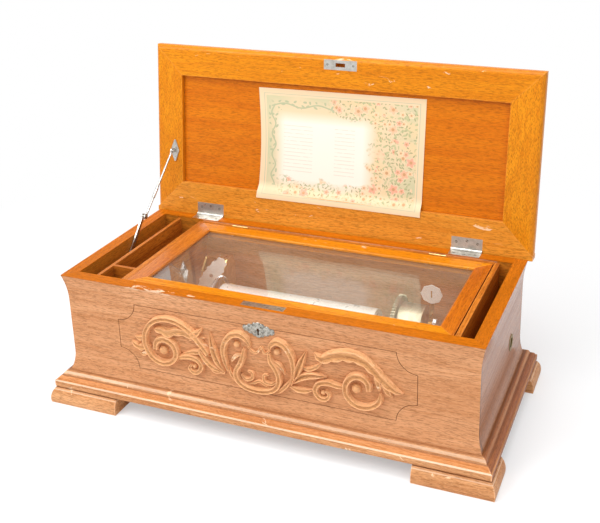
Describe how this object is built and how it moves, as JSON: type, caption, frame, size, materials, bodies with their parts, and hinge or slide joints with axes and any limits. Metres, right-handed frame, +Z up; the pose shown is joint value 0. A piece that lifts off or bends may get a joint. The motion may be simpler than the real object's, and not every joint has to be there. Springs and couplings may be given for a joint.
{
  "type": "cylinder music box",
  "caption": "Table music box in a carved oak case: hinged lid with a stay, hinged glass lid, and an open cylinder and comb movement wound by a crank.",
  "frame": {"origin": "on the table, under the middle of the case (lid left out)", "axes": "+X along the front to the right, +Y to the back, +Z up"},
  "size_m": [0.7014, 0.3674, 0.4966],
  "materials": {
    "oak_front": "satin",
    "oak_side": "satin",
    "oak_plinth": "satin",
    "oak_inner": "satin",
    "oak_lid": "gloss",
    "oak_panel": "gloss",
    "oak_glass_frame": "gloss",
    "pane": "clear",
    "sheet": "matte",
    "nickel": "worn",
    "brass": "worn",
    "steel": "ground",
    "casting": "painted gold"
  },
  "bodies": {
    "case": {"bedplate": "casting", "bottom_board": "oak_inner", "case_back": "oak_side", "case_front": "oak_front", "case_hinge_leaves": "nickel", "case_left": "oak_side", "case_right": "oak_side", "case_screws": "steel", "comb": "steel", "comb_base": "casting", "crank_bush": "brass", "cross_divider": "oak_inner", "cylinder_standards": "brass", "feet": "oak_plinth", "front_carving": "oak_front", "glass_lid_ledges": "oak_inner", "governor_frame": "brass", "governor_plate": "nickel", "keyhole_escutcheon": "nickel", "left_divider": "oak_inner", "left_partition": "oak_inner", "lock_case": "nickel", "plinth_back": "oak_plinth", "plinth_front": "oak_plinth", "plinth_left": "oak_plinth", "plinth_right": "oak_plinth", "rail_hinge_leaves": "brass", "rear_rail": "oak_inner", "right_partition": "oak_inner", "spring_plate": "nickel", "spring_standard": "brass"},
    "lid": {"lid_rail_front": "oak_lid", "lid_rail_back": "oak_lid", "lid_stile_left": "oak_lid", "lid_stile_right": "oak_lid", "lid_panel": "oak_panel", "strike_plate": "nickel", "lid_hinge_leaves": "nickel", "tune_sheet": "sheet", "stay_bracket": "nickel", "lid_screws": "steel"},
    "stay_lever": {"stay_lever": "nickel"},
    "stay_rod": {"stay_rod": "nickel"},
    "glass_lid": {"glass_rail_front": "oak_glass_frame", "glass_rail_back": "oak_glass_frame", "glass_stile_left": "oak_glass_frame", "glass_stile_right": "oak_glass_frame", "glass_pane": "pane", "glass_hinge_leaves": "brass"},
    "lock_bolt": {"lock_bolt": "nickel"},
    "cylinder": {"cylinder_drum": "brass", "cylinder_arbor": "steel"},
    "barrel": {"spring_barrel": "brass"},
    "winding": {"winding_arbor": "steel", "ratchet_wheel": "steel"},
    "click": {"click": "steel"},
    "governor": {"governor_wheel": "brass"},
    "fly": {"governor_fly": "steel"},
    "start_lever": {"start_lever": "steel"},
    "change_lever": {"change_lever": "steel"}
  },
  "joints": [
    {"name": "lid_hinge", "type": "hinge", "parent": "case", "child": "lid", "pos_m": [0, 0.1452, 0.2102], "axis": [-1, 0, 0], "range_deg": [-96.6, 0]},
    {"name": "stay_lever_pivot", "type": "hinge", "parent": "case", "child": "stay_lever", "pos_m": [-0.3026, -0.004, 0.172], "axis": [-1, 0, 0], "range_deg": [0, 152.42]},
    {"name": "stay_rod_pivot", "type": "hinge", "parent": "lid", "child": "stay_rod", "pos_m": [-0.2977, 0.15086, 0.31827], "axis": [-1, 0, 0], "range_deg": [0, 77.6]},
    {"name": "glass_lid_hinge", "type": "hinge", "parent": "case", "child": "glass_lid", "pos_m": [0, 0.118, 0.2085], "axis": [-1, 0, 0], "range_deg": [0, 90]},
    {"name": "lock_bolt_slide", "type": "slide", "parent": "case", "child": "lock_bolt", "axis": [0, 0, 1], "range_m": [0, 0.007]},
    {"name": "cylinder_spin", "type": "hinge", "parent": "case", "child": "cylinder", "pos_m": [0, 0.008, 0.128], "axis": [1, 0, 0], "continuous": true},
    {"name": "barrel_spin", "type": "hinge", "parent": "case", "child": "barrel", "pos_m": [0, 0.0636, 0.108], "axis": [1, 0, 0], "continuous": true},
    {"name": "governor_spin", "type": "hinge", "parent": "case", "child": "governor", "pos_m": [0, 0.05119, 0.128], "axis": [1, 0, 0], "continuous": true},
    {"name": "fly_spin", "type": "hinge", "parent": "case", "child": "fly", "pos_m": [-0.169, 0.06619, 0], "axis": [0, 0, 1], "continuous": true},
    {"name": "winding_spin", "type": "hinge", "parent": "case", "child": "winding", "pos_m": [0, 0.0636, 0.108], "axis": [1, 0, 0], "continuous": true},
    {"name": "click_pivot", "type": "hinge", "parent": "case", "child": "click", "pos_m": [0.198, 0.052, 0.076], "axis": [1, 0, 0], "range_deg": [0, 15]},
    {"name": "start_lever_pivot", "type": "hinge", "parent": "case", "child": "start_lever", "pos_m": [0, -0.07, 0.096], "axis": [-1, 0, 0], "range_deg": [0, 24]},
    {"name": "change_lever_pivot", "type": "hinge", "parent": "case", "child": "change_lever", "pos_m": [0, -0.07, 0.096], "axis": [-1, 0, 0], "range_deg": [0, 24]}
  ],
  "couplings": [
    {"joint": "stay_lever_pivot", "follows": "lid_hinge", "ratio": -1.5778},
    {"joint": "stay_rod_pivot", "follows": "lid_hinge", "ratio": -0.80329},
    {"joint": "barrel_spin", "follows": "cylinder_spin", "ratio": -0.33333},
    {"joint": "governor_spin", "follows": "cylinder_spin", "ratio": -6},
    {"joint": "fly_spin", "follows": "cylinder_spin", "ratio": 144}
  ]
}
